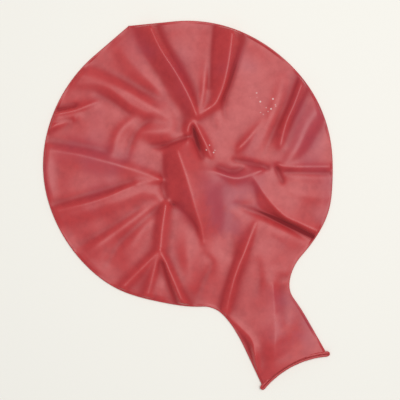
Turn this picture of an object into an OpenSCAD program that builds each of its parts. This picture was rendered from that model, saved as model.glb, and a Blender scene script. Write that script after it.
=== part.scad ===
// Giant round latex balloon, empty and lying flat.
// +Z is up and the neck points along -Y. The origin is the centre of the round
// body, on the surface that the balloon lies on.
// The balloon is one dipped skin. Its round body and its neck are separate solids
// here, because the skin folds along the line where they meet.

/* [Body] */
// Width of the round body, lying flat
body_d = 480; // [360:10:600]
// Height of the slack upper layer at the middle of the body
body_h = 22; // [14:1:30]
// Thickness of the flattened skin at its folded rim and along the neck
rim_h = 4.4; // [3:0.1:6]
// Width of the flat band along the rim, where the two layers lie together
rim_band = 8; // [5:1:14]
// Thickness of one layer of latex
wall = 0.35; // [0.25:0.05:0.6]

/* [Neck] */
// Width of the flattened neck where it meets the body
neck_w = 111; // [80:1:140]
// Length of the neck, from the fold line to the corners of the mouth
neck_len = 106; // [70:1:150]
// Radius of the concave shoulders between the body and the neck
shoulder_r = 60; // [40:1:80]

/* [Mouth] */
// Width of the mouth, lying flat
mouth_w = 119; // [85:1:150]
// How far the middle of the mouth curves in towards the body
mouth_sag = 12; // [4:1:18]
// Thickness of the rolled bead
bead_d = 4.6; // [3.5:0.1:6]

/* [Crown tip] */
// How far the crown's tip stands out past the round outline
tip_reach = 11; // [4:1:16]
// Angle by which the tip lies to the right of the centre line
tip_turn = 4; // [-12:1:12]
// Diameter of the solid drip at the tip
tip_d = 8; // [5:0.5:12]

/* [Hidden] */

$fn = 180;
small_fn = 48;        // facets round the bead and the drip
latex_red = [0.69, 0.19, 0.22];
bead_red = [0.66, 0.16, 0.19];
tip_red = [0.55, 0.10, 0.13];

overrun = 1;          // how far a cutting shape runs past what it cuts
hinge_gap = 0.3;      // slit between the body's and the neck's solids at the fold line
lip_gap = 1;          // slit of the mouth, between the two runs of the bead
corner_swell = 0.25;  // how much thicker the bead is where it turns at the mouth's corners
tip_round = 1.2;      // radius of the drip's rounded edges
root_turn = 0.6;      // angle by which a shoulder's root stops short of touching the body's circle

body_r = body_d / 2;
tip_y = body_r + tip_reach;

// The shoulder's arc touches the body's circle and the neck's side.
shoulder_x = neck_w / 2 + shoulder_r;
fold_y = -sqrt(pow(body_r + shoulder_r, 2) - pow(shoulder_x, 2));
root_angle = atan2(shoulder_x, -fold_y) - root_turn;
mouth_y = fold_y - neck_len;

// The dome rises from the inner edge of the rim's band to the full height in the middle.
dome_foot_r = body_r - rim_band;
dome_rise = body_h - rim_h;
dome_r = (pow(dome_foot_r, 2) + pow(dome_rise, 2)) / (2 * dome_rise);

// The mouth's edge is an arc, and its centre lies in front of the mouth.
mouth_r = (pow(mouth_w / 2, 2) + pow(mouth_sag, 2)) / (2 * mouth_sag);
mouth_centre_y = mouth_y + mouth_sag - mouth_r;
mouth_half_angle = asin(mouth_w / 2 / mouth_r);

// The lower lip's run of the bead lies in front, and the upper lip's run lies above and
// behind it, on the end of the neck's upper layer.
bead_r = bead_d / 2;
corner_r = bead_r + corner_swell;
lower_run_r = mouth_r - bead_r;
lower_run_z = corner_r;
upper_run_z = rim_h + bead_r / 2;
run_rise = upper_run_z - lower_run_z;
run_distance = bead_d + lip_gap;
lip_step = sqrt(pow(run_distance, 2) - pow(run_rise, 2));
upper_run_r = lower_run_r + lip_step;
run_lean = atan2(lip_step, run_rise);

// Plan of the round body with its crown peak, drawn in by inset.
module body_plan(inset = 0) {
    r = body_r - inset;
    apex = tip_y * r / body_r;
    touch_angle = acos(r / apex);
    circle(r = r);
    rotate([0, 0, -tip_turn])
        polygon([
            [0, 0],
            [r * sin(touch_angle), r * cos(touch_angle)],
            [0, apex],
            [-r * sin(touch_angle), r * cos(touch_angle)]
        ]);
}

// Plan of the shoulders, from the body's circle down to the fold line. It runs past
// the fold line by past, so that the hollow is open there.
module shoulder_plan(inset = 0, past = 0) {
    half_w = neck_w / 2 - inset;
    inner = (body_r - 2 * shoulder_r) * [sin(root_angle), -cos(root_angle)];
    outer = (body_r + shoulder_r / 2) * [sin(root_angle), -cos(root_angle)];
    for (side = [-1, 1])
        mirror([1 - side, 0])
            difference() {
                polygon([
                    [0, inner.y],
                    inner,
                    outer,
                    [shoulder_x, fold_y],
                    [half_w, fold_y],
                    [half_w, fold_y - past],
                    [0, fold_y - past]
                ]);
                translate([shoulder_x, fold_y]) circle(r = shoulder_r + inset);
            }
}

// Half width of the neck's plan at a height y.
function neck_half_w(y) =
    neck_w / 2 + (mouth_w - neck_w) / 2 * (fold_y - y) / (fold_y - mouth_y);

// Plan of the neck between its side edges, from y = from down past the lower lip.
module neck_plan(from, inset = 0) {
    front_y = mouth_y - bead_d;
    polygon([
        [neck_half_w(from) - inset, from],
        [neck_half_w(front_y) - inset, front_y],
        [-neck_half_w(front_y) + inset, front_y],
        [-neck_half_w(from) + inset, from]
    ]);
}

// Slack upper layer's cap, which stands in the rim's slab, drawn in by inset.
module dome(inset = 0) {
    intersection() {
        translate([0, 0, rim_h / 2]) cylinder(r = body_r - rim_band / 2, h = body_h);
        translate([0, 0, body_h - dome_r]) sphere(r = dome_r - inset);
    }
}

// Slab of the flattened rim, with the crown's peak and the shoulders.
module rim_slab(inset = 0, past = 0) {
    translate([0, 0, inset])
        linear_extrude(height = rim_h - 2 * inset) {
            body_plan(inset);
            shoulder_plan(inset, past);
        }
}

// Hollow skin of the round body and shoulders, open at the fold line. The solid drip
// takes the place of the skin at the crown's tip.
module body_skin() {
    color(latex_red)
        difference() {
            union() {
                dome();
                rim_slab();
            }
            union() {
                dome(wall);
                rim_slab(wall, overrun);
            }
            at_crown_tip()
                translate([0, 0, -overrun]) cylinder(d = tip_d, h = rim_h + 2 * overrun);
        }
}

// Flattened tube of the neck. It is open at the fold line, and each layer ends on its
// own run of the bead.
module neck_sleeve() {
    start = fold_y - hinge_gap;
    color(latex_red)
        difference() {
            linear_extrude(height = rim_h) neck_plan(start);
            translate([0, 0, wall])
                linear_extrude(height = rim_h - 2 * wall) neck_plan(start + overrun, wall);
            translate([0, mouth_centre_y, -overrun])
                cylinder(r = lower_run_r, h = rim_h + 2 * overrun);
            translate([0, mouth_centre_y, rim_h / 2]) cylinder(r = upper_run_r, h = rim_h);
            bead_ring();
        }
}

// One run of the bead along the mouth's arc.
module bead_run(r, z) {
    translate([0, mouth_centre_y, z])
        rotate([0, 0, 90 - mouth_half_angle])
            rotate_extrude(angle = 2 * mouth_half_angle)
                translate([r, 0]) circle(r = bead_r, $fn = small_fn);
}

// Turn of the bead at a corner of the mouth, from the lower run's end to the upper run's:
// a short rod with round ends.
module bead_corner(side) {
    translate([0, mouth_centre_y, lower_run_z])
        rotate([0, 0, 90 - side * mouth_half_angle])
            translate([lower_run_r, 0, 0])
                rotate([0, run_lean, 0])
                    rotate_extrude($fn = small_fn)
                        intersection() {
                            union() {
                                circle(r = corner_r);
                                translate([0, run_distance]) circle(r = corner_r);
                                square([corner_r, run_distance]);
                            }
                            translate([0, -corner_r])
                                square([corner_r, run_distance + 2 * corner_r]);
                        }
}

// Both runs and both corners of the bead, joined into a ring.
module bead_ring() {
    union() {
        bead_run(lower_run_r, lower_run_z);
        bead_run(upper_run_r, upper_run_z);
        bead_corner(1);
        bead_corner(-1);
    }
}

// Rolled bead around the mouth: a closed ring, pressed flat with the neck.
module mouth_bead() {
    color(bead_red) bead_ring();
}

// Places its children at the middle of the crown tip's drip.
module at_crown_tip() {
    rotate([0, 0, -tip_turn]) translate([0, tip_y - tip_d / 2, 0]) children();
}

// Solid drip where the last latex gathered on the former: a round-edged button.
module crown_tip() {
    color(tip_red)
        at_crown_tip()
            rotate_extrude($fn = small_fn) {
                square([tip_d / 2 - tip_round, rim_h]);
                translate([0, tip_round]) square([tip_d / 2, rim_h - 2 * tip_round]);
                for (z = [tip_round, rim_h - tip_round])
                    translate([tip_d / 2 - tip_round, z]) circle(r = tip_round);
            }
}

body_skin();
neck_sleeve();
mouth_bead();
crown_tip();
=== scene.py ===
import bpy
import math
import numpy as np
from mathutils import Matrix, Vector


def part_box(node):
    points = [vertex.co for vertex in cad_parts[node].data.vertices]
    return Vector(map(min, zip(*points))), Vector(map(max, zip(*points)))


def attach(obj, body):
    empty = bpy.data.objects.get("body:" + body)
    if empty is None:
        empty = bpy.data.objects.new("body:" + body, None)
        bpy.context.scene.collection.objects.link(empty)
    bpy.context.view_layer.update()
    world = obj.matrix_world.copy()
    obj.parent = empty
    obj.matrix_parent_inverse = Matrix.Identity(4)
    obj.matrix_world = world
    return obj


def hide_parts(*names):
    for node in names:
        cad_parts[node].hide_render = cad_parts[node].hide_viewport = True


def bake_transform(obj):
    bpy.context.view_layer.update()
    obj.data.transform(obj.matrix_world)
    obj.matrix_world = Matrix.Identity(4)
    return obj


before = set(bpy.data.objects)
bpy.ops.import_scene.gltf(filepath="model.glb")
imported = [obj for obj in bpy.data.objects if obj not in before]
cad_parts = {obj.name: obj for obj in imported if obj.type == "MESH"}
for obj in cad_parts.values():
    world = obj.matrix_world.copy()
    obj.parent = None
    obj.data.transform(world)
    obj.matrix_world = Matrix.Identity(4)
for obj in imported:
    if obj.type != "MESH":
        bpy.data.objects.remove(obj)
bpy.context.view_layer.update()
print("frame loaded")

# Shapes are worked out in millimetres, and meshes are made in metres.
mm = 0.001

# Places that come from the CAD nodes. The neck folds where the body's solid ends.
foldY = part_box("body_skin")[0][1] / mm
neckLow, neckHigh = [np.array(corner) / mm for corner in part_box("neck_sleeve")]

camera = {
    "lens": 85.0,
    "sensor": 36.0,
    "roll": 27.3,               # degrees that the balloon lies turned in the view
    "across": 662.0,            # width that the view takes in
    "aim": (-10.2, -61.0, 5.0),
    "clip": (0.05, 30),         # metres to the nearest and the furthest thing it sees
}

lights = {
    "skyColor": (0.93, 0.97, 1.0),
    "skyStrength": 0.42,
    "panelSize": 2.4,           # metres, and so are the next two
    "panelHeight": 3.0,
    "panelSide": 0.60,          # how far it stands off to the view's upper right
    "panelPower": 76.0,
    "panelColor": (1.0, 0.985, 0.955),
}

floorForm = {
    "reach": 6.0,               # metres from its middle to a side
    "drop": 0.0002,             # metres that it lies under the balloon
    "color": (0.86, 0.838, 0.785, 1),
    "roughness": 0.8,
    "shine": 0.2,
}


# Smooth step from 0 to 1 as value goes from low to high: 3t^2 - 2t^3, t its share of the way
def ease(value, low, high):
    t = np.clip((value - low) / (high - low), 0, 1)
    return t * t * (3 - 2 * t)


# Puts points (n x 3, in mm) and faces into a new object, in metres
def makeObject(name, points, faces, material):
    mesh = bpy.data.meshes.new(name)
    mesh.from_pydata((points * mm).tolist(), [], [tuple(f) for f in faces])
    mesh.materials.append(material)
    mesh.polygons.foreach_set("use_smooth", np.ones(len(mesh.polygons), bool))
    mesh.update()
    piece = bpy.data.objects.new(name, mesh)
    bpy.context.scene.collection.objects.link(piece)
    return piece


# Stores one number for each vertex, for a material to read
def storeValues(piece, name, values):
    layer = piece.data.attributes.new(name, "FLOAT", "POINT")
    layer.data.foreach_set("value", np.ascontiguousarray(values, dtype=np.float32))


# A shader socket that can be used in Python expressions
class Value:
    def __init__(self, tree, socket):
        self.tree = tree
        self.socket = socket

    # Any node: its type, its settings, then the values or links of its sockets, each by its
    # name, or by an i and its number
    def node(self, kind, settings=None, output=0, **sockets):
        made = self.tree.nodes.new(kind)
        for key, setting in (settings or {}).items():
            setattr(made, key, setting)
        for key, value in sockets.items():
            numbered = key[0] == "i" and key[1:].isdigit()
            slot = made.inputs[int(key[1:]) if numbered else key]
            if isinstance(value, Value):
                self.tree.links.new(value.socket, slot)
            else:
                slot.default_value = value
        return Value(self.tree, made.outputs[output])

    def maths(self, operation, *values):
        sockets = {f"i{k}": value for k, value in enumerate(values)}
        return self.node("ShaderNodeMath", {"operation": operation}, **sockets)

    def __add__(self, other):
        return self.maths("ADD", self, other)

    def __radd__(self, other):
        return self.maths("ADD", other, self)

    def __sub__(self, other):
        return self.maths("SUBTRACT", self, other)

    def __rsub__(self, other):
        return self.maths("SUBTRACT", other, self)

    def __mul__(self, other):
        return self.maths("MULTIPLY", self, other)

    def __rmul__(self, other):
        return self.maths("MULTIPLY", other, self)

    # The smaller of this value and most
    def atMost(self, most):
        return self.maths("MINIMUM", self, most)

    # 0 below low, 1 above high, smooth between
    def step(self, low, high):
        settings = {"interpolation_type": "SMOOTHSTEP", "clamp": True}
        return self.node("ShaderNodeMapRange", settings, Value=self, i1=low, i2=high, i3=0.0, i4=1.0)

    # This color, turned into another one as much as amount says
    def mixed(self, other, amount):
        settings = {"data_type": "RGBA", "blend_type": "MIX", "clamp_factor": True}
        return self.node("ShaderNodeMix", settings, output=2, i0=amount, i6=self, i7=other)


# A new material: the material, a value to start its nodes from, and its shader
def newMaterial(name):
    material = bpy.data.materials.new(name)
    material.use_nodes = True
    tree = material.node_tree
    tree.nodes.clear()
    shader = tree.nodes.new("ShaderNodeBsdfPrincipled")
    out = tree.nodes.new("ShaderNodeOutputMaterial")
    tree.links.new(shader.outputs["BSDF"], out.inputs["Surface"])
    return material, Value(tree, None), shader


latex = {
    "light": (0.478, 0.031, 0.034),     # thin, stretched skin
    "deep": (0.345, 0.014, 0.019),      # folds: latex seen through several layers, partly painted shade
    "shut": (0.185, 0.006, 0.010, 1),   # bottom of a closed fold, which little light reaches
    "bloom": (0.330, 0.036, 0.066, 1),  # dull bluish haze that comes to the surface with age
    "talc": (0.80, 0.62, 0.60, 1),
    "flatDepth": 0.34,                  # share of the deep color on a smooth flat
    "hazeDepth": 0.35,                  # how much haze and mottling change that share
    "mottleDepth": 0.95,
    "foldDepth": 0.8,                   # how much a fold adds to it, partly as painted shade
    "crestDepth": 0.35,                 # how much a crest takes from it: stretched skin, partly a painted highlight
    "shutFold": (1.3, 2.8),             # fold value where the skin starts to look shut, and is
    "bloomAmount": 0.46,
    "bloomMost": 1.3,
    "bloomCloud": (0.50, 0.72),         # cloud noise where bloom starts, and is full
    "bloomHaze": (0.35, 0.6),           # haze noise that breaks up a spot of bloom
    "bloomCore": 0.2,                   # share of a spot's reach within which bloom is full
    "talcAmount": 0.75,
    "talcCells": 190.0,                 # places for a fleck, along a metre
    "talcFleck": (0.14, 0.40),          # how far from its place, in cells, it fades and ends
    "talcChance": (0.62, 0.66),         # random number up to which a place has none, and from which one
    "talcCore": 0.4,
    "talcNear": (0.1, 0.6),
    "spotHeight": 10.0,                 # of the middle of a spot, halfway up the slack skin
    "roughness": 0.42,
    "hazeRough": 0.12,
    "mottleRough": 0.10,
    "foldRough": 0.18,
    "talcRough": 0.3,
    "bump": 0.18,
    "bumpHeight": 0.0006,               # metres
    "grainShare": 0.35,                 # fine grain beside the ripple in the bump
    "ior": 1.52,
    "sheen": 0.10,
    "sheenRough": 0.5,
    "sheenTint": (1.0, 0.75, 0.75, 1),
}

# Noise in the latex: scale, detail and roughness
noises = {
    "cloud": (7.0, 3.0, 0.5),
    "haze": (17.0, 4.0, 0.6),
    "grain": (420.0, 3.0, 0.6),
    "ripple": (75.0, 2.0, 0.5),
    "mottle": (90.0, 3.0, 0.6),
}


# How much spots (x, y, reach) cover a place, added up: each is 1 within core of its reach
# and 0 past the whole of it
def nearSpots(start, place, spots, core):
    near = 0.0
    for x, y, reach in spots:
        middle = (x * mm, y * mm, latex["spotHeight"] * mm)
        settings = {"operation": "DISTANCE"}
        away = start.node("ShaderNodeVectorMath", settings, output=1, i0=place, i1=middle)
        near = near + (1 - away.step(core * reach * mm, reach * mm))
    return near


# Flecks of talc by the spots: one in some of the cells of a Voronoi pattern, which a random
# number from the cell's place picks
def talcFlecks(start, place, spots):
    settings = {"feature": "F1"}
    scale = latex["talcCells"]
    toMiddle = start.node("ShaderNodeTexVoronoi", settings, Vector=place, Scale=scale)
    cellPlace = start.node("ShaderNodeTexVoronoi", settings, output=2, Vector=place, Scale=scale)
    chance = start.node("ShaderNodeTexWhiteNoise", {"noise_dimensions": "3D"}, Vector=cellPlace)
    near = nearSpots(start, place, spots, latex["talcCore"])
    fleck = (1 - toMiddle.step(*latex["talcFleck"])) * chance.step(*latex["talcChance"])
    return fleck * near.step(*latex["talcNear"])


# Satin latex. Its color goes from the light one to the deep one by depth: a flat's share,
# more in folds (partly painted shade) and less on crests (partly a painted highlight), with
# haze and mottling. Cloudy bloom, the painted shade of shut folds and flecks of talc go over
# it, and its bump is a fine uneven grain.
def latexMaterial(name, tone, talcSpots=(), bloomSpots=()):
    material, start, shader = newMaterial(name)
    place = start.node("ShaderNodeTexCoord", output=3)
    crest = start.node("ShaderNodeAttribute", {"attribute_name": "crest"}, output=2)
    fold = start.node("ShaderNodeAttribute", {"attribute_name": "fold"}, output=2)
    cloud, haze, grain, ripple, mottle = [
        start.node("ShaderNodeTexNoise", Vector=place, Scale=scale, Detail=detail, Roughness=rough)
        for scale, detail, rough in noises.values()]

    light, deep = [tuple(c * tone for c in latex[key]) + (1,) for key in ("light", "deep")]
    depth = latex["flatDepth"] + latex["hazeDepth"] * (haze - 0.5)
    depth = depth + latex["mottleDepth"] * (mottle - 0.5)
    # Folds darken the color: partly latex seen through several layers, partly painted shade
    depth = depth + latex["foldDepth"] * fold.atMost(1.0)
    # Crests lighten it: stretched skin, partly a painted highlight
    depth = depth - latex["crestDepth"] * crest
    settings = {"data_type": "RGBA"}
    base = start.node("ShaderNodeMix", settings, output=2, i0=depth.step(0.0, 1.0), i6=light, i7=deep)

    spotted = nearSpots(start, place, bloomSpots, latex["bloomCore"]) * haze.step(*latex["bloomHaze"])
    bloom = cloud.step(*latex["bloomCloud"]) + spotted
    base = base.mixed(latex["bloom"], bloom.atMost(latex["bloomMost"]) * latex["bloomAmount"])
    # Deep folds turn to the shut color: painted shade
    base = base.mixed(latex["shut"], fold.step(*latex["shutFold"]))

    rough = latex["roughness"] + latex["hazeRough"] * (haze - 0.5)
    rough = rough + latex["mottleRough"] * (mottle - 0.5) + latex["foldRough"] * fold
    if talcSpots:
        flecks = talcFlecks(start, place, talcSpots)
        base = base.mixed(latex["talc"], flecks * latex["talcAmount"])
        rough = rough + latex["talcRough"] * flecks
    bump = start.node("ShaderNodeBump", Strength=latex["bump"], Distance=latex["bumpHeight"],
                      Height=grain * latex["grainShare"] + ripple)

    links = material.node_tree.links
    links.new(base.socket, shader.inputs["Base Color"])
    links.new(rough.socket, shader.inputs["Roughness"])
    links.new(bump.socket, shader.inputs["Normal"])
    shader.inputs["IOR"].default_value = latex["ior"]
    shader.inputs["Sheen Weight"].default_value = latex["sheen"]
    shader.inputs["Sheen Roughness"].default_value = latex["sheenRough"]
    shader.inputs["Sheen Tint"].default_value = latex["sheenTint"]
    return material


outline = {
    "radius": 238.8,
    "tipAngle": 4.0,        # degrees that the tip lies to the right of the middle
    "tipOut": 250.4,        # the tip's distance from the middle
    "shoulderRadius": 60.0,
    "neckWidth": 111.0,
    "mouthWidth": 120.0,
    "mouthSag": 12.0,
    "mouthShort": 0.6,      # how far the skin stops short of the end of the CAD neck
    "lipStep": 4.7,         # how far the upper lip lies behind the lower one
    "tuck": 2.0,            # how far the upper layer runs on into the bead
    "runOn": 5.0,           # how far the edge's curve goes on past the mouth
    "bodyPoints": 1500,     # along the body's edge, and along a shoulder's
    "shoulderPoints": 200,
    # Sideways pushes of the whole width: how far to the right, at what y, over what reach
    "leans": ((9.5, -188, 42), (-3.0, 110, 90), (-3.5, -262, 26)),
}

skinForm = {
    "topColumns": 264,
    "underColumns": 34,
    "evenShare": 0.30,      # of the top columns' spacing; the rest crowds to the rim
    "rowStep": 2.45,        # between rows, where the outline runs straight
    "rowShare": 0.0125,     # and as a share of the body's half width, where it runs across
    "leastRowStep": 0.45,
    "mouthSteps": (0.9, 1.9),   # between rows at the mouth, and mouthReach in from it
    "mouthReach": 15.0,
    "rimRadius": 1.7,       # of the fold along the rim
    "rimOver": (1.36, 5.36),    # how far in the rim's fold starts to turn into slack skin, and ends
    "pinch": 2.6,           # height just inside the rim's fold, where the layers meet
    "bodyRise": 3.4,        # how much higher the slack skin lies further in
    "neckRise": 1.6,
    "riseReach": 60.0,
    "neckZone": (-10, 70),  # past the neck's start, where its slack turns into the body's
    "neckRolls": 0.35,      # share of the rolling that the neck has
    "crestRound": 1.0,      # of a crest's top, before the skin settles
    "crestPower": 1.25,
    "leastCrease": 0.1,     # height and width that a crease keeps at its ends
    "cell": 1.5,            # of the grid that the upper layer settles on
    "margins": (12, 20),    # by which that grid goes past the skin, and past the tip
    "settle": 6.0,          # how far a held crease pulls the skin beside it
    "hold": 6.0,
    "holdSteps": 40,        # held places between two points of a crease
    "endStretch": 0.5,      # length of crease that its last place holds
    "turns": 160,
    "gridBlur": 0.6,        # in cells, which takes out the grid's steps
    "seed": 11,
    "uneven": ((2.2, 0.05), (4.5, 0.16), (10.0, 0.42), (22.0, 0.6)),   # small swellings: width, height
    "edgeKeeps": 0.75,      # share of the slack skin's height beside the rim
    "edgeReach": (2, 12),   # and from where to where it comes back
    "foldKeeps": 0.42,      # share of it at the fold line, so that the neck can lie over the body
    "foldReach": (6, 60),
    "leastHeight": 1.1,     # of the upper layer, which never goes through the lower one
    "leastSharp": 1.6,      # how sharply it levels out there
    "around": 7.0,          # reach of the skin that a crest or fold is compared with
    "crestOver": 3.0,       # height above it that is as light as a crest gets
    "foldUnder": 1.8,       # depth below it that counts as a fold of 1
    "foldMost": 3,
    "foldPower": 1.3,
    "steep": 0.62,          # slope of a flank that gets the most painted shade
    "steepShade": 0.12,     # fold value of painted shade that it adds
    "crestFade": 8,         # how far in from the rim crests have their full value, and folds
    "foldFade": 4,
    "lipRise": 3.3,         # how far the upper layer rises onto the bead
    "lipRiseIn": 5,         # how far in from the neck's sides it has risen, and stepped back
    "lipStepIn": 8,
    "floorGap": 0.1,
    "underLift": 0.9,       # how far the lower layer lifts to the bead at the mouth
    "underSwell": 0.2,      # of the lower layer's swellings, which are finer than the rolling
    "underFiner": 1.7,
    "underIn": (4, 20),     # how far in from the rim they start, and are full
    "underFade": (60, 34),  # how far from the mouth they start to fade, and are gone
    # Rings of the lining: distance behind the lip, share of its width, share of its height
    "lining": ((0.6, 0.985, 0.85), (5.0, 0.975, 0.45), (12.0, 0.96, 0.2), (26.0, 0.94, 0.12)),
    "liningLift": 0.25,
    "liningEnd": 6.0,
}

# Creases of the upper layer. Each point is (x, y, height, left, right): the skin falls off
# over the width left or right of someone who walks along the crease from the first point.
ridges = {
    "longCrest": [(50, 247, 17, 12, 26), (46, 193, 18, 13, 29), (51, 140, 18, 12, 29),
        (52, 97, 15, 8, 23), (48, 63, 9, 4, 9)],
    "facetCrest": [(176, 178, 18, 20, 34), (149, 136, 16, 13, 34), (119, 96, 13, 8, 27),
        (89, 70, 8, 7, 14), (64, 65, 6, 5, 8), (49, 61, 5, 4, 4)],
    "slimCrest": [(103, 137, 1, 4, 6), (83, 105, 4, 5, 7), (57, 68, 6, 4, 4)],
    "outerCrest": [(240, 45, 11, 11, 12), (202, 10, 12, 12, 12), (175, -12, 10, 10, 11),
        (148, -42, 5, 8, 8)],
    "shortCrest": [(156, 15, 1, 7, 9), (111, -6, 4, 8, 10), (82, -16, 5, 5, 5)],
    "rightLine": [(212, -114, 4, 8, 5), (169, -92, 4, 7, 5), (140, -77, 4.5, 5, 4), (130, -68, 5, 4, 4)],
    "midCurve": [(9, -17, 2, 6, 8), (33, -31, 4, 7, 9), (62, -58, 4, 9, 10), (104, -64, 3, 6, 8)],
    "upperLip": [(85, -64, 3, 14, 6), (89, -107, 4.5, 28, 5), (100, -148, 8, 32, 4.5),
        (118, -173, 8.5, 30, 4.5), (143, -207, 7.5, 20, 4)],
    "shoulderCrest": [(-65, -256, 9, 15, 5), (-21, -204, 10, 15, 5), (18, -169, 8, 14, 5),
        (55, -136, 3, 10, 4)],
    "forkStem": [(-106, -103, 8, 10, 14), (-89, -76, 9, 12, 18), (-63, -40, 8, 9, 12)],
    "forkLeft": [(-194, -132, 7, 10, 10), (-147, -117, 8, 9, 10), (-106, -103, 8, 6, 6)],
    "forkMiddle": [(-166, -167, 7, 8, 8), (-133, -132, 7, 7, 6), (-106, -103, 8, 5, 5)],
    "forkRight": [(-114, -212, 13, 14, 12), (-110, -153, 11, 10, 10), (-106, -103, 8, 5, 6)],
    "stepCrest": [(-6, 30, 12, 34, 24), (-11, -5, 17, 50, 34), (-17, -39, 18, 62, 40),
        (-24, -69, 14, 55, 26), (-29, -98, 9, 44, 12), (-38, -127, 3, 18, 7)],
    "rimWrinkle1": [(-168, 179, 9, 5, 5), (-126, 166, 6, 5, 5), (-87, 161, 1, 5, 5)],
    "rimWrinkle2": [(-175, 171, 8, 4, 4), (-122, 155, 3, 3, 4)],
    "rimWrinkle3": [(-184, 161, 9, 4, 7), (-150, 156, 6, 4, 6), (-117, 151, 1, 4, 5)],
    "leftLine": [(-204, 134, 4, 14, 20), (-159, 102, 4.5, 14, 24), (-127, 74, 5, 13, 26),
        (-77, 26, 6, 11, 16), (-53, 0, 6, 6, 7)],
    "starLeft": [(36, 62, 5, 4, 3), (25, 51, 5, 4, 3), (16, 33, 3, 4, 3)],
    "starRight": [(39, 60, 5, 5, 4), (40, 29, 7, 7, 6), (39, -6, 3, 6, 5)],
    "doubleUpper": [(-237, 34, 5, 9, 16), (-157, 16, 5.5, 11, 18), (-89, 10, 6, 9, 16), (-52, -2, 6, 5, 6)],
    "neckCrest": [(33, -240, 8, 20, 24), (23, -264, 13, 28, 44), (10, -292, 14, 40, 66),
        (-2, -320, 13, 54, 66), (-15, -347, 10, 62, 50), (-22, -361, 7, 60, 36)],
    "neckEdgeCrest": [(-55, -260, 6, 12, 7), (-41, -302, 9, 24, 9), (-47, -331, 9, 26, 8),
        (-55, -354, 6, 18, 5)],
}

# Soft ridges, in the same way
swells = {
    "panelRidge": [(206, 55, 3, 14, 12), (174, 21, 6, 14, 12), (141, -5, 5, 12, 10), (112, -27, 3, 9, 9)],
    "broadRidge": [(251, -10, 4, 18, 18), (209, -29, 8, 20, 20), (175, -56, 8, 16, 18),
        (144, -72, 5, 9, 9)],
    "rightLow1": [(201, -129, 3, 9, 8), (155, -102, 4, 9, 8), (133, -87, 2, 6, 6)],
    "rightLow2": [(182, -157, 2, 9, 9), (141, -128, 3, 10, 10), (115, -100, 2, 9, 9)],
    "lowerLip": [(39, -109, 1, 5, 18), (66, -137, 4, 4, 24), (92, -170, 5, 4, 28), (134, -221, 4, 4, 20)],
    "paleRidge": [(-14, 235, 2, 20, 20), (-6, 194, 6, 24, 20), (7, 153, 7, 20, 18), (13, 128, 3, 12, 12)],
    "twinUpper": [(-110, 229, 4, 15, 13), (-76, 200, 6, 16, 15), (-48, 169, 7, 16, 18),
        (-18, 123, 7.5, 13, 18), (5, 84, 5, 9, 10)],
    "twinLower": [(-110, 208, 4, 12, 10), (-72, 187, 6, 12, 11), (-55, 165, 7, 14, 11),
        (-39, 129, 7, 18, 12), (-16, 100, 6, 16, 9)],
    "leftRim": [(-199, 126, 3, 14, 10), (-216, 97, 5, 16, 10), (-229, 52, 3, 14, 10)],
    "leftRimLow": [(-240, 6, 2, 12, 10), (-232, -43, 3, 14, 10), (-215, -89, 2, 12, 10)],
    "lumpArc": [(-100, 75, 4, 9, 8), (-79, 98, 6, 10, 9), (-43, 110, 4, 9, 8)],
    "lump": [(-47, 85, 5, 12, 12), (-23, 72, 7, 18, 16), (-3, 65, 6, 14, 12)],
    "lumpEdge": [(10, 100, 4, 9, 9), (10, 83, 5, 8, 10), (-4, 59, 4, 7, 9)],
    "doubleLower": [(-234, 19, 4, 10, 16), (-145, 3, 7, 11, 18), (-82, -5, 7, 11, 12)],
    "doubleEnd": [(-95, -10, 3, 12, 12), (-70, -17, 6, 14, 12), (-70, -32, 4, 10, 10)],
    "lowLeftBand": [(-237, -60, 3, 11, 11), (-183, -48, 6, 12, 12), (-126, -40, 6, 11, 10),
        (-78, -33, 5, 7, 6)],
    "lowBump": [(-156, -83, 3, 18, 16), (-129, -67, 6, 18, 16), (-99, -52, 5, 12, 12)],
    "lowLeftPatch": [(-143, -175, 4, 8, 8), (-125, -151, 2, 5, 5)],
    "bellyBump": [(-57, -102, 3, 16, 20), (-72, -137, 5, 20, 20), (-89, -177, 4, 18, 18)],
    "shoulderBump": [(5, -255, 2, 20, 20), (-21, -283, 4, 18, 18), (-29, -321, 3, 14, 14)],
    "neckAcross": [(23, -214, 1, 6, 6), (48, -223, 2, 6, 6), (67, -237, 3, 6, 6)],
    "neckAcross2": [(26, -236, 1, 4, 4), (44, -245, 3, 5, 5), (64, -250, 3, 5, 5)],
    "mouthFold": [(-58, -355, 2, 5, 5), (-36, -357, 2, 4, 4), (-21, -356, 2, 4, 4)],
}

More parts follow.
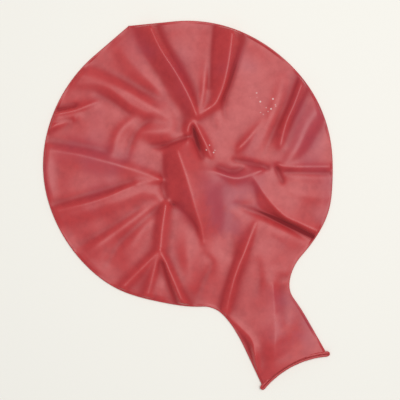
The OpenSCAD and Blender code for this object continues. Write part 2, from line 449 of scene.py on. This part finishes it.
# Folds and feet of slopes, where the skin is held down by this depth
valleys = {
    "facetFoot": [(147, 193, 0.6, 8, 5), (112, 137, 0.6, 8, 5), (88, 97, 0.6, 6, 5)],
    "darkTriangle": [(189, 149, 1, 7, 7), (149, 114, 1.5, 7, 7), (120, 86, 2, 6, 6), (99, 65, 3, 5, 5),
        (88, 35, 1, 4, 4)],
    "outerFoot": [(226, 44, 1, 7, 8), (180, 5, 1.5, 8, 8), (144, -22, 1.5, 7, 7), (113, -46, 1, 6, 6)],
    "rightUnder": [(206, -122, 1, 5, 4), (165, -101, 1.5, 5, 4), (135, -84, 2, 5, 4)],
    "nodeDrop": [(127, -72, 5, 4, 4), (125, -98, 2, 5, 5)],
    "midFold": [(70, -28, 4, 6, 4), (91, -45, 6, 5, 4), (114, -66, 4, 6, 3)],
    "midFold2": [(41, -26, 3, 5, 5), (58, -44, 5, 5, 5), (77, -47, 4, 4, 4)],
    "deepFold": [(38, -93, 4, 4, 4), (55, -108, 7, 4, 4.5), (71, -126, 9, 4, 5), (95, -156, 10, 4, 5),
        (114, -181, 10, 4, 5), (142, -218, 9, 4, 4.5)],
    "shoulderFoot": [(-75, -247, 0.8, 6, 5), (-31, -199, 1, 7, 6), (8, -163, 0.8, 6, 6)],
    "stepFoot": [(-28, 35, 1.5, 7, 6), (-46, 4, 2, 8, 6), (-58, -31, 2, 8, 6), (-43, -67, 2.5, 7, 6),
        (-37, -92, 2, 6, 6), (-39, -121, 1, 5, 5)],
    "forkWedge": [(-125, -205, 1.5, 7, 7), (-120, -157, 1.5, 6, 6), (-113, -123, 1.5, 4, 4)],
    "deepCurve": [(-45, 59, 2, 5, 5), (-28, 49, 6, 6, 6), (-4, 44, 7, 6, 6), (24, 41, 5, 5, 5)],
    "starWedge": [(36, 53, 4, 3, 4), (30, 28, 7, 5, 5), (25, -1, 4, 4, 4)],
    "neckEdgeFoot": [(-58, -282, 2, 4, 4), (-51, -310, 3, 5, 5), (-58, -338, 2, 4, 4)],
    "wrinkleFoot": [(-160, 184, 4, 5, 3), (-121, 173, 3, 4, 3)],
}

# Soft hollows
dips = {
    "outerFoot2": [(241, 22, 4, 7, 7), (201, -6, 3, 7, 7), (177, -27, 2, 6, 6)],
    "ridgeFoot": [(243, -39, 3, 11, 11), (201, -62, 4, 13, 13), (176, -75, 2, 10, 10)],
    "midDrop": [(84, -13, 3, 4, 4), (72, -29, 4, 4, 4)],
    "softPatch": [(80, -81, 4, 8, 9), (69, -113, 5, 8, 9)],
    "centreSoft": [(30, -63, 2.5, 16, 16), (14, -107, 4, 24, 20), (-1, -159, 3, 18, 16)],
    "lSoft": [(-45, -143, 2, 6, 6), (-41, -164, 5, 6, 7), (-67, -185, 5, 7, 8), (-94, -212, 4, 6, 7)],
    "bellySoft": [(27, -195, 2, 8, 8), (19, -218, 4, 8, 8), (4, -243, 2, 8, 8)],
    "dash": [(69, -171, 3, 4, 4), (77, -188, 2, 4, 4)],
    "hookDark": [(-61, -37, 3, 4, 4), (-47, -53, 4, 5, 5), (-32, -61, 2, 4, 4)],
    "paleFoot": [(-67, 233, 2, 13, 12), (-35, 181, 4, 14, 12), (-8, 141, 4, 12, 10), (9, 117, 2, 8, 7)],
    "twinFoot": [(-80, 172, 4, 8, 9), (-59, 141, 5, 9, 9), (-47, 110, 4, 8, 8)],
    "wrinkleFoot2": [(-180, 166, 4, 3, 3), (-137, 155, 3, 3, 3)],
    "leftBand": [(-197, 147, 4, 10, 9), (-152, 115, 6, 10, 8), (-112, 81, 5, 9, 7)],
    "lumpValley": [(-89, 54, 4, 6, 6), (-67, 78, 7, 6, 6), (-48, 89, 7, 6, 6), (-18, 98, 5, 6, 6)],
    "doubleFoot": [(-228, 44, 5, 8, 8), (-158, 28, 7, 9, 8), (-97, 16, 6, 7, 6)],
    "lowBand1": [(-235, -34, 4, 11, 10), (-165, -35, 5, 11, 9), (-105, -27, 4, 8, 7)],
    "lowBand2": [(-193, -82, 4, 8, 9), (-155, -61, 5, 8, 9), (-117, -51, 5, 8, 9), (-68, -37, 4, 6, 6)],
    "centreLeft": [(27, 72, 4, 8, 8), (13, 56, 4, 8, 8)],
    "starRightFoot": [(76, 62, 3, 5, 5), (66, 33, 4, 6, 6)],
    "neckDark": [(41, -255, 3, 6, 6), (33, -281, 4.5, 9, 9), (22, -309, 3, 8, 8)],
    "neckAcrossFoot": [(28, -224, 1, 4, 4), (44, -236, 3, 4, 4), (65, -243, 3, 4, 4)],
    "rimTop": [(69, 215, 1, 12, 12), (107, 202, 2, 12, 12), (132, 186, 1, 12, 12)],
}


# A smooth curve through a crease's points: each span is a Catmull-Rom piece
def smoothCurve(path, steps=7):
    p = np.array(path, float)
    p = np.vstack([2 * p[0] - p[1], p, 2 * p[-1] - p[-2]])
    t = np.linspace(0, 1, steps, endpoint=False)[:, None, None]
    a, b, c, d = [p[None, k:len(p) - 3 + k] for k in range(4)]
    curve = 0.5 * (2 * b + (c - a) * t + (2 * a - 5 * b + 4 * c - d) * t**2
                   + (3 * b - a - 3 * c + d) * t**3)
    curve = curve.transpose(1, 0, 2).reshape(-1, p.shape[1])
    return np.vstack([curve, p[-2]])


# For points x, y, the nearest place on a curve: the curve's values there, the distance to
# it, and the side, from -1 for right to 1 for left of someone who walks along the curve
def nearestOn(curve, x, y):
    p = np.stack([x, y], -1)[:, None]
    a, b = curve[None, :-1], curve[None, 1:]
    along = b[..., :2] - a[..., :2]
    offset = p - a[..., :2]
    t = np.clip((offset * along).sum(-1) / (along**2).sum(-1), 0, 1)
    gap = offset - t[..., None] * along
    distance = np.sqrt((gap**2).sum(-1))
    k = distance.argmin(1)
    row = np.arange(len(k))
    t, distance, gap = t[row, k][:, None], distance[row, k], gap[row, k]
    along = along[0, k] / np.linalg.norm(along[0, k], axis=1)[:, None]
    side = (along[:, 0] * gap[:, 1] - along[:, 1] * gap[:, 0]) / np.maximum(distance, 1e-6)
    return a[0, k] * (1 - t) + b[0, k] * t, distance, side


# Height of one crease at points x, y: its height along the curve, times one minus the
# distance over the width on that side, raised to a power that hollows the flanks
def creaseHeight(x, y, path):
    curve = smoothCurve(path)
    curve[:, 2:] = np.maximum(curve[:, 2:], skinForm["leastCrease"])
    reach = curve[:, 3:].max() + skinForm["crestRound"]
    low, high = curve[:, :2].min(0) - reach, curve[:, :2].max(0) + reach
    near = (x > low[0]) & (x < high[0]) & (y > low[1]) & (y < high[1])
    height = np.zeros_like(x)
    if not near.any():
        return height
    here, distance, side = nearestOn(curve, x[near], y[near])
    width = here[:, 4] + (here[:, 3] - here[:, 4]) * (0.5 + 0.5 * side)
    rounding = skinForm["crestRound"]
    d = np.sqrt(distance**2 + rounding**2) - rounding
    height[near] = here[:, 2] * np.clip(1 - d / width, 0, 1) ** skinForm["crestPower"]
    return height


# Smooth largest of many heights: the root of the sum of their powers
def together(x, y, creases, power=5):
    total = np.zeros_like(x)
    for path in creases.values():
        total += creaseHeight(x, y, path) ** power
    return total ** (1 / power)


# Low rolling of slack skin: a broad wave 1.3 mm high whose crests wander, and a finer
# slanting one of 0.7 mm, each a sine wave across times one along
def rolling(x, y):
    return (1.3 * np.sin(x / 31 + 0.6 * np.sin(y / 43)) * np.sin(y / 37 + 1.1)
            + 0.7 * np.sin((x + 0.6 * y) / 19 + 2.0) * np.sin((y - 0.4 * x) / 27))


# Height of the slack upper layer before it settles: it rises from the rim and rolls, with
# ridges added and valleys taken away
def roughHeight(x, y, plan):
    toBody = ease(y, *[plan.neckStart + zone for zone in skinForm["neckZone"]])
    rise = skinForm["neckRise"] + (skinForm["bodyRise"] - skinForm["neckRise"]) * toBody
    rolls = skinForm["neckRolls"] + (1 - skinForm["neckRolls"]) * toBody
    up = together(x, y, {**ridges, **swells})
    down = together(x, y, {**valleys, **dips})
    base = rise * ease(plan.inside(x, y), 0, skinForm["riseReach"])
    return skinForm["pinch"] + base + rolling(x, y) * rolls + up - down


# A grid blurred by a bell curve of this width, in cells
def blurred(grid, width):
    waves = np.fft.fft2(grid)
    ky, kx = np.fft.fftfreq(grid.shape[0])[:, None], np.fft.fftfreq(grid.shape[1])[None]
    return np.fft.ifft2(waves * np.exp(-2 * (math.pi * width) ** 2 * (kx**2 + ky**2))).real


# Small uneven swellings: random numbers blurred to a few widths, each with its height
def unevenness(gridShape):
    random = np.random.default_rng(skinForm["seed"])
    total = np.zeros(gridShape)
    for width, high in skinForm["uneven"]:
        lumps = blurred(random.normal(size=gridShape), width / skinForm["cell"])
        total += high * lumps / lumps.std()
    return total


# For places on a grid, the numbers of the four grid points around each one, and the share
# that each of them has in a value there
def cornersOf(xs, ys, x, y):
    fx, fy = (x - xs[0]) / skinForm["cell"], (y - ys[0]) / skinForm["cell"]
    ix, iy = np.clip(fx.astype(int), 0, len(xs) - 2), np.clip(fy.astype(int), 0, len(ys) - 2)
    fx, fy = np.clip(fx - ix, 0, 1), np.clip(fy - iy, 0, 1)
    corners = (iy * len(xs) + ix)[..., None] + np.array([0, 1, len(xs), len(xs) + 1])
    return corners, np.stack([(1 - fx) * (1 - fy), fx * (1 - fy), (1 - fx) * fy, fx * fy], -1)


# Places where the ridges and valleys hold the upper layer: their corners on the grid and
# the corners' shares, how hard each place holds, and at what height
def heldPlaces(xs, ys, plan):
    curves = [smoothCurve(path, skinForm["holdSteps"]) for path in [*ridges.values(), *valleys.values()]]
    x, y = np.vstack(curves)[:, :2].T
    # places are closer together than cells, so each one's hold is its share of a cell
    gaps = [np.hypot(*np.diff(curve[:, :2], axis=0).T) for curve in curves]
    stretch = np.concatenate([np.append(gap, skinForm["endStretch"]) for gap in gaps])
    hold = (skinForm["hold"] * stretch / skinForm["cell"])[:, None]
    return *cornersOf(xs, ys, x, y), hold, roughHeight(x, y, plan)


# Settles a height on a grid like a film that is drawn towards the wanted height, while it
# is held in places. It solves, by conjugate gradients, for the height whose slopes and
# whose distances from the wanted and held heights are together the smallest.
def settled(wanted, corners, shares, hold, heldHeight):
    pull = (skinForm["cell"] / skinForm["settle"]) ** 2

    # Values at the held places, shared out to their corners
    def spread(values):
        weights = shares * hold * values[:, None]
        return np.bincount(corners.ravel(), weights.ravel(), wanted.size).reshape(wanted.shape)

    # How hard a height is pulled back at each grid point
    def apply(h):
        out = pull * h + spread((h.ravel()[corners] * shares).sum(-1))
        dx, dy = np.diff(h, axis=1), np.diff(h, axis=0)
        out[:, 1:] += dx
        out[:, :-1] -= dx
        out[1:] += dy
        out[:-1] -= dy
        return out

    h = wanted.copy()
    rest = pull * wanted + spread(heldHeight) - apply(h)
    way, size = rest.copy(), (rest**2).sum()
    for turn in range(skinForm["turns"]):
        pushed = apply(way)
        amount = size / (way * pushed).sum()
        h += amount * way
        rest -= amount * pushed
        sizeNow = (rest**2).sum()
        way = rest + sizeNow / size * way
        size = sizeNow
    print("upper layer settled, largest leftover", round(float(np.abs(rest).max()), 4))
    return h


# The upper layer's settled height on a grid, how far it is above or below the skin around
# it, and its slope
def settledGrids(plan):
    cell = skinForm["cell"]
    margin, tipMargin = skinForm["margins"]
    xs = np.arange(-plan.radius - margin, plan.radius + margin, cell)
    ys = np.arange(plan.mouthY - margin, plan.radius + tipMargin, cell)
    x, y = np.meshgrid(xs, ys)
    wanted = roughHeight(x, y, plan) + unevenness(x.shape)
    h = blurred(settled(wanted, *heldPlaces(xs, ys, plan)), skinForm["gridBlur"])
    over = h - blurred(h, skinForm["around"] / cell)
    slope = np.hypot(*np.gradient(h, cell))
    return xs, ys, h, over, slope


# The flat balloon's outline, and how far a point lies in from it. Each shoulder is an arc
# that touches the body's circle and the neck's side, where the neck starts.
class Plan:
    def __init__(self, form):
        self.radius = form["radius"]
        self.tip = math.radians(form["tipAngle"])
        self.touch = math.acos(self.radius / form["tipOut"])
        self.neck = form["neckWidth"] / 2
        self.mouth = form["mouthWidth"] / 2
        self.mouthY = neckLow[1] + form["mouthShort"]
        self.shoulder = form["shoulderRadius"]
        self.shoulderX = self.neck + self.shoulder
        self.neckStart = -math.sqrt((self.radius + self.shoulder) ** 2 - self.shoulderX**2)
        self.root = math.atan2(self.shoulderX, -self.neckStart)

    # Radius of the round body by the angle from +Y: a circle, and near the tip the two
    # straight lines that touch the circle and meet at the tip
    def bodyRadius(self, angle):
        off = np.abs(angle - self.tip)
        peak = self.radius / np.cos(self.touch - np.minimum(off, self.touch))
        return np.where(off < self.touch, peak, self.radius)

    # Half width of the neck, which widens evenly to the mouth
    def neckHalf(self, y):
        share = np.clip((self.neckStart - y) / (self.neckStart - self.mouthY), 0, 2)
        return self.neck + (self.mouth - self.neck) * share

    # The edge on one side, from the mouth up: y and x
    def edge(self, side):
        angle = np.linspace(self.tip, side * (math.pi - self.root), outline["bodyPoints"])
        r = self.bodyRadius(angle)
        turn = np.linspace(self.root, math.pi / 2, outline["shoulderPoints"])
        end = self.mouthY - outline["runOn"]
        shoulderX = side * (self.shoulderX - self.shoulder * np.sin(turn))
        shoulderY = self.neckStart + self.shoulder * np.cos(turn)
        x = np.concatenate([r * np.sin(angle), shoulderX, [side * self.neckHalf(end)]])
        y = np.concatenate([r * np.cos(angle), shoulderY, [end]])
        return y[::-1], x[::-1]

    # How far in from the edge a point lies: from the circle and its tip, or from the
    # shoulder's arc, or from the neck's side
    def inside(self, x, y):
        angle = np.arctan2(x, y)
        circle = self.bodyRadius(angle) - np.hypot(x, y)
        shoulder = np.hypot(np.abs(x) - self.shoulderX, y - self.neckStart) - self.shoulder
        neck = self.neckHalf(y) - np.abs(x)
        low = np.abs(angle) > math.pi - self.root
        return np.where(y < self.neckStart, neck, np.where(low, shoulder, circle))

    # Sideways push of the whole width, by y: the sum of a few bell curves
    def lean(self, y):
        return sum(push * np.exp(-((y - place) / reach) ** 2) for push, place, reach in outline["leans"])

    # How far along the neck a place is, from 0 where it starts to 1 at the mouth
    def toMouth(self, y):
        return ease(-y, -self.neckStart, -self.mouthY)

    # How far rows bend back with the lips, by how far across a point is: a parabola
    def sag(self, y, across):
        return outline["mouthSag"] * (1 - across**2) * self.toMouth(y)

    # Points of rows by how far across they are, from -1 at the left edge to 1 at the right:
    # x, y and how far in from the edge
    def rowPoints(self, rows, across):
        left, right = [np.interp(rows, *self.edge(side))[:, None] for side in (-1, 1)]
        x = (left + right) / 2 + across * ((right - left) / 2)
        y = rows[:, None] + np.zeros_like(x)
        return x, y, np.maximum(self.inside(x, y), 0)


# Rows of the skin, from the tip to the mouth: close together where the outline runs across,
# by the tip and at the mouth
def rowPlaces(plan):
    y = np.linspace(plan.bodyRadius(plan.tip) - 0.05, plan.mouthY, 6000)
    across = np.sqrt(np.maximum(plan.radius**2 - np.maximum(y, 0) ** 2, 0))
    step = np.clip(skinForm["rowShare"] * across, skinForm["leastRowStep"], skinForm["rowStep"])
    neckY = [plan.mouthY, plan.mouthY + skinForm["mouthReach"], plan.neckStart]
    neckStep = np.interp(y, neckY, [*skinForm["mouthSteps"], skinForm["rowStep"]])
    step = np.where(y < plan.neckStart, neckStep, step)
    count = np.concatenate([[0], np.cumsum(np.abs(np.diff(y)) / step[1:])])
    return np.interp(np.linspace(0, count[-1], int(count[-1]) + 1), count, y)


# The upper layer's height at points that lie d in from the edge, with how far it stands
# out as a crest or lies in a fold, from 0 up, which lighten and darken its color as partly
# painted highlight and painted shade
def upperLayer(x, y, d, plan):
    form = skinForm
    xs, ys, *grids = settledGrids(plan)
    corners, shares = cornersOf(xs, ys, x, y)
    slack, over, slope = [(grid.ravel()[corners] * shares).sum(-1) for grid in grids]
    # lower beside the rim and the fold line, and never through the lower layer
    edgeKeeps = form["edgeKeeps"] + (1 - form["edgeKeeps"]) * ease(d, *form["edgeReach"])
    foldKeeps = form["foldKeeps"] + (1 - form["foldKeeps"]) * ease(np.abs(y - foldY), *form["foldReach"])
    slack = form["pinch"] + (slack - form["pinch"]) * edgeKeeps * foldKeeps
    least, sharp = form["leastHeight"], form["leastSharp"]
    slack = least + np.logaddexp(0, (slack - least) * sharp) / sharp
    # the rim's fold: a quarter circle, then over into the slack skin
    rim = form["rimRadius"]
    arc = rim + np.sqrt(np.clip(rim**2 - (rim - np.minimum(d, rim)) ** 2, 0, None))
    roll = ease(d, *form["rimOver"])
    z = arc * (1 - roll) + slack * roll
    # crest: height above the skin around, which lightens the color, partly as a painted highlight
    crest = np.clip(over / form["crestOver"], 0, 1) * ease(d, 0, form["crestFade"])
    # fold: depth below the skin around, which darkens the color, partly as painted shade
    fold = np.clip(-over / form["foldUnder"], 0, form["foldMost"]) ** form["foldPower"]
    # steep flanks get painted shade through the fold value
    fold = fold + form["steepShade"] * np.clip(slope / form["steep"], 0, 1) ** 2
    return z, crest, fold * ease(d, 0, form["foldFade"])


# Rows of the upper layer, from left to right. Towards the mouth they step back behind the
# lower lip and rise onto the bead.
def upperRows(plan, rows):
    half = np.linspace(-1, 1, skinForm["topColumns"])
    even = skinForm["evenShare"]
    across = even * half + (1 - even) * np.sin(half * math.pi / 2)
    x, y, d = plan.rowPoints(rows, across)
    d[:, 0] = d[:, -1] = 0
    z, crest, fold = upperLayer(x + plan.lean(y), y, d, plan)
    z = z + skinForm["lipRise"] * plan.toMouth(y) ** 6 * ease(d, 0, skinForm["lipRiseIn"])
    fromEdge = (1 - np.abs(across)) * (x[:, -1:] - x[:, :1]) / 2
    step = (outline["lipStep"] - outline["tuck"]) * plan.toMouth(y) ** 4
    step = step * ease(fromEdge, 0, skinForm["lipStepIn"])
    return np.stack([x + plan.lean(y), y + plan.sag(y, across) + step, z], -1), crest, fold


# Height of the lower layer, by how near the mouth it is: it lifts to the bead
def underHeight(toMouth):
    return skinForm["floorGap"] + skinForm["underLift"] * toMouth**8


# Rows of the lower layer, from right to left: nearly flat, turned up in a quarter circle at
# the rim, with slight swellings
def lowerRows(plan, rows):
    across = np.sin(np.linspace(1, -1, skinForm["underColumns"] + 2)[1:-1] * math.pi / 2)
    x, y, d = plan.rowPoints(rows, across)
    rim = skinForm["rimRadius"]
    arc = rim - np.sqrt(np.clip(rim**2 - (rim - np.minimum(d, rim)) ** 2, 0, None))
    far, gone = [-plan.mouthY - distance for distance in skinForm["underFade"]]
    share = ease(d, *skinForm["underIn"]) * (1 - ease(-y, far, gone))
    swelling = 2 + rolling(skinForm["underFiner"] * x, skinForm["underFiner"] * y)
    z = np.maximum(arc - skinForm["floorGap"], 0) + underHeight(plan.toMouth(y))
    z = z + skinForm["underSwell"] * swelling * share
    return np.stack([x + plan.lean(y), y + plan.sag(y, across), z], -1)


# Rings of the mouth's lining: the last loop drawn in by a layer, then narrower and flatter
# ones further back in the neck
def liningRings(plan, last):
    middleX, lowest = last[:, 0].mean(), last[:, 2].min()
    rings = []
    for back, narrow, high in skinForm["lining"]:
        ring = last.copy()
        ring[:, 0] = middleX + (last[:, 0] - middleX) * narrow
        ring[:, 1] = last[:, 1] + back
        floor = underHeight(plan.toMouth(plan.mouthY + back)) + skinForm["liningLift"]
        ring[:, 2] = floor + (last[:, 2] - lowest) * high
        rings.append(ring)
    return np.array(rings)


# Faces between neighbouring loops of size points each. In a ring the last loop joins the
# first one.
def loopFaces(loops, size, ring=False):
    i, j = np.meshgrid(np.arange(loops if ring else loops - 1), np.arange(size), indexing="ij")
    nextI, nextJ = (i + 1) % loops, (j + 1) % size
    corners = [i * size + j, nextI * size + j, nextI * size + nextJ, i * size + nextJ]
    return np.stack(corners, -1).reshape(-1, 4)


# Faces of loops that are closed to a point at both ends: the first end's point comes after
# the loops, and the other one last. Turned, they face the other way.
def closedTube(loops, size, turned=False):
    sides = loopFaces(loops, size)
    j = np.arange(size)
    k = (j + 1) % size
    lastLoop = (loops - 1) * size
    start = np.stack([np.full(size, loops * size), j, k], -1)
    end = np.stack([np.full(size, loops * size + 1), lastLoop + k, lastLoop + j], -1)
    if turned:
        sides, start, end = sides[:, [0, 3, 2, 1]], start[:, [0, 2, 1]], end[:, [0, 2, 1]]
    return sides.tolist() + start.tolist() + end.tolist()


# The skin: for each row a closed loop, over the upper layer and back under the lower one.
# Past the lips the loops turn in and line the mouth, which gets the painted shade of a fold.
def buildSkin(plan, material):
    rows = rowPlaces(plan)
    upper, crest, fold = upperRows(plan, rows)
    loops = np.concatenate([upper, lowerRows(plan, rows)], 1)
    lining = liningRings(plan, loops[-1])
    loops = np.concatenate([loops, lining], 0)
    tipPoint = loops[0].mean(0)
    endPoint = loops[-1].mean(0) + np.array([0, skinForm["liningEnd"], 0])
    points = np.concatenate([loops.reshape(-1, 3), [tipPoint], [endPoint]])
    faces = closedTube(*loops.shape[:2])
    skin = makeObject("skin", points, faces, material)
    plain = ((0, 0), (0, skinForm["underColumns"]))
    inMouth = ((0, len(lining)), (0, 0))
    crest = np.pad(np.pad(crest, plain), inMouth)
    # the mouth's lining and its end point get a fold value of 1: painted shade inside the mouth
    fold = np.pad(np.pad(fold, plain), inMouth, constant_values=1)
    storeValues(skin, "crest", np.append(crest.ravel(), [0, 0]))
    storeValues(skin, "fold", np.append(fold.ravel(), [0, 1]))
    triangles = sum(len(face) - 2 for face in faces)
    print("skin", len(rows), "rows,", triangles, "triangles, highest", round(float(points[:, 2].max()), 1))
    return skin


beadForm = {
    "thick": 4.6,
    "ripple": 0.035,        # share of its radius by which the bead's thickness varies
    "rippleTurns": (0.61, 0.23),
    "behind": 1.2,          # how far its front lies behind the end of the CAD neck
    "lowerLift": 0.2,       # of the run along the lower lip, off the floor
    "upperLift": 1.1,       # of the middle of the upper lip's run, above the CAD neck
    "turnOut": 0.95,        # how far its turns at the corners stand out, and how much thinner
    "turnThin": 0.10,       # they are there
    "runPoints": 150,
    "turnPoints": 18,
    "around": 18,
    "crest": 0.6,           # value of the thinly rolled skin on top
    "underShade": 0.5,       # painted shade on the side that faces down, as a fold value
}


# The bead's path: out along the lower lip, round the corner and back along the upper lip.
# Both lips follow the mouth's arc. It gives the points, the way along the arc, the way from
# the lower run to the upper one, and how far out in a turn each point is, from -1 to 1.
def beadPath():
    r = beadForm["thick"] / 2
    width = outline["mouthWidth"] / 2
    sag = outline["mouthSag"]
    arcRadius = (width**2 + sag**2) / (2 * sag)
    centreY = neckLow[1] + beadForm["behind"] + sag - arcRadius
    limit = math.asin(width / arcRadius)
    lowZ, highZ = r + beadForm["lowerLift"], neckHigh[2] + beadForm["upperLift"]
    rise, back = highZ - lowZ, outline["lipStep"]
    spread = math.hypot(rise, back) / 2

    # angle along the arc, and how far round its turns the path has come
    run = np.linspace(-limit, limit, beadForm["runPoints"])
    turn = np.linspace(0, math.pi, beadForm["turnPoints"] + 2)[1:-1]
    still = np.zeros(len(run))
    angle = np.concatenate([run, np.full(len(turn), limit), run[::-1], np.full(len(turn), -limit)])
    phase = np.concatenate([still, turn, still + math.pi, turn + math.pi])
    outward = np.concatenate([still, np.sin(turn), still, -np.sin(turn)])
    tangent = np.stack([np.cos(angle), -np.sin(angle), 0 * angle], -1)
    radial = np.stack([np.sin(angle), np.cos(angle), 0 * angle], -1)
    leanWay = (radial * back + np.array([0, 0, rise])) / (2 * spread)
    path = radial * (arcRadius - r + back / 2) + np.array([0, centreY, lowZ + rise / 2])
    path = path - leanWay * (np.cos(phase) * spread)[:, None]
    path = path + tangent * (outward * spread * beadForm["turnOut"])[:, None]
    return path, tangent, leanWay, outward


# The bead: a circle carried along a closed path, a little uneven in its thickness
def buildBead(plan, material):
    r = beadForm["thick"] / 2
    path, tangent, leanWay, outward = beadPath()
    ahead = np.roll(path, -1, 0) - np.roll(path, 1, 0)
    ahead /= np.linalg.norm(ahead, axis=1)[:, None]
    face = np.cross(tangent, leanWay)
    aside = np.cross(ahead, face)
    aside /= np.linalg.norm(aside, axis=1)[:, None]
    s = np.arange(len(path))
    fast, slow = beadForm["rippleTurns"]
    ripple = beadForm["ripple"] * (np.sin(s * fast) + np.sin(s * slow + 1))
    thick = r * (1 + ripple - beadForm["turnThin"] * np.abs(outward))[:, None, None]
    a = np.linspace(0, 2 * math.pi, beadForm["around"], endpoint=False)[None, :, None]
    rings = path[:, None] + thick * (np.cos(a) * face[:, None] + np.sin(a) * aside[:, None])
    points = rings.reshape(-1, 3)
    points[:, 0] += plan.lean(plan.mouthY)
    faces = loopFaces(*rings.shape[:2], ring=True).tolist()
    bead = makeObject("rolledBead", points, faces, material)
    down = np.clip((path[:, 2:] - rings[..., 2]) / r, 0, 1)
    storeValues(bead, "crest", np.full(len(points), beadForm["crest"]))
    # the bead's underside is darker: painted shade
    storeValues(bead, "fold", beadForm["underShade"] * down.ravel())
    print("bead", len(faces) * 2, "triangles")
    return bead


tipForm = {
    "long": 9.0,
    "wide": 7.0,
    "high": 3.9,
    "square": 0.7,      # power of the sine that draws its loops in; less than 1 squares it off
    "point": 0.16,      # share by which it is longer towards the tip
    "short": 0.6,       # how far it stops short of the outline
    "floorGap": 0.1,
    "loops": 20,
    "around": 40,
    "fold": 0.2,        # value of the thick latex
}


# The drip at the crown: a flat rounded drop, a circle of points drawn in towards both poles
# by a squared-off sine, and pointed towards the tip
def buildTip(plan, material):
    up = np.linspace(0, math.pi, tipForm["loops"] + 2)[1:-1]
    turn = np.linspace(0, 2 * math.pi, tipForm["around"], endpoint=False)
    u, a = np.meshgrid(up, turn, indexing="ij")
    spread = np.sin(u) ** tipForm["square"]
    pointed = 1 + tipForm["point"] * np.clip(np.cos(a), 0, 1) ** 3
    out = tipForm["long"] / 2 * spread * np.cos(a) * pointed
    across = tipForm["wide"] / 2 * spread * np.sin(a)
    out = out + plan.bodyRadius(plan.tip) - tipForm["long"] / 2 - tipForm["short"]
    x = out * math.sin(plan.tip) + across * math.cos(plan.tip) + plan.lean(plan.radius)
    y = out * math.cos(plan.tip) - across * math.sin(plan.tip)
    z = tipForm["high"] / 2 * (1 + np.cos(u)) + tipForm["floorGap"]
    points = np.stack([x, y, z], -1)
    poles = points.mean(1)[[0, -1]]
    poles[:, 2] = tipForm["high"] + tipForm["floorGap"], tipForm["floorGap"]
    faces = closedTube(*u.shape, turned=True)
    tip = makeObject("crownDrip", np.vstack([points.reshape(-1, 3), poles]), faces, material)
    storeValues(tip, "crest", np.zeros(u.size + 2))
    storeValues(tip, "fold", np.full(u.size + 2, tipForm["fold"]))
    return tip


# Pale floor, far wider than the view
def buildFloor():
    reach = floorForm["reach"]
    mesh = bpy.data.meshes.new("floor")
    corners = [(x * reach, y * reach, -floorForm["drop"]) for x, y in ((-1, -1), (1, -1), (1, 1), (-1, 1))]
    mesh.from_pydata(corners, [], [(0, 1, 2, 3)])
    material, _, shader = newMaterial("floorPaint")
    shader.inputs["Base Color"].default_value = floorForm["color"]
    shader.inputs["Roughness"].default_value = floorForm["roughness"]
    shader.inputs["Specular IOR Level"].default_value = floorForm["shine"]
    mesh.materials.append(material)
    floor = bpy.data.objects.new("floor", mesh)
    bpy.context.scene.collection.objects.link(floor)


# Soft light: an even sky and one large panel overhead, to the view's upper right
def buildLights(upWay, rightWay):
    world = bpy.data.worlds.new("sky")
    bpy.context.scene.world = world
    world.use_nodes = True
    sky = world.node_tree.nodes["Background"]
    sky.inputs["Color"].default_value = (*lights["skyColor"], 1)
    sky.inputs["Strength"].default_value = lights["skyStrength"]
    panel = bpy.data.lights.new("panel", "AREA")
    panel.size = lights["panelSize"]
    panel.energy = lights["panelPower"]
    panel.color = lights["panelColor"]
    lamp = bpy.data.objects.new("panel", panel)
    aim = Vector(camera["aim"]) * mm
    side = (upWay + rightWay).normalized() * lights["panelSide"]
    lamp.location = aim + side + Vector((0, 0, lights["panelHeight"]))
    lamp.rotation_mode = "QUATERNION"
    lamp.rotation_quaternion = (aim - lamp.location).to_track_quat("-Z", "Y")
    bpy.context.scene.collection.objects.link(lamp)


# Camera straight above, rolled so that the neck runs to the view's lower right. It gives
# the ways that are up and right in the view.
def buildCamera():
    turn = math.radians(90 - camera["roll"])
    upWay = Vector((math.cos(turn), math.sin(turn), 0))
    rightWay = Vector((math.sin(turn), -math.cos(turn), 0))
    data = bpy.data.cameras.new("camera")
    data.lens, data.sensor_width = camera["lens"], camera["sensor"]
    data.clip_start, data.clip_end = camera["clip"]
    height = camera["across"] * mm * camera["lens"] / camera["sensor"]
    made = bpy.data.objects.new("camera", data)
    place = Vector(camera["aim"]) * mm + Vector((0, 0, height))
    axes = Matrix((rightWay, upWay, Vector((0, 0, 1)))).transposed()
    made.matrix_world = Matrix.Translation(place) @ axes.to_4x4()
    bpy.context.scene.collection.objects.link(made)
    bpy.context.scene.camera = made
    return upWay, rightWay


# Where talc and bloom have gathered: x, y and reach
talcPlaces = [(160, 28, 22), (150, 45, 14), (45, 6, 12)]
bloomPlaces = [(44, -84, 62), (2, -108, 60), (36, -318, 75)]

# The latex of the bead and the drip is a little darker than the skin's.
plan = Plan(outline)
skin = buildSkin(plan, latexMaterial("skinLatex", 1.0, talcPlaces, bloomPlaces))
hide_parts("body_skin", "neck_sleeve")
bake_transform(skin)
bead = buildBead(plan, latexMaterial("beadLatex", 0.93))
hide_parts("mouth_bead")
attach(bead, "neck")
drip = buildTip(plan, latexMaterial("dripLatex", 0.97))
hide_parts("crown_tip")
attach(drip, "body")
print("balloon built")

buildFloor()
buildLights(*buildCamera())
scene = bpy.context.scene
scene.view_settings.view_transform = "Standard"
print("stage set")
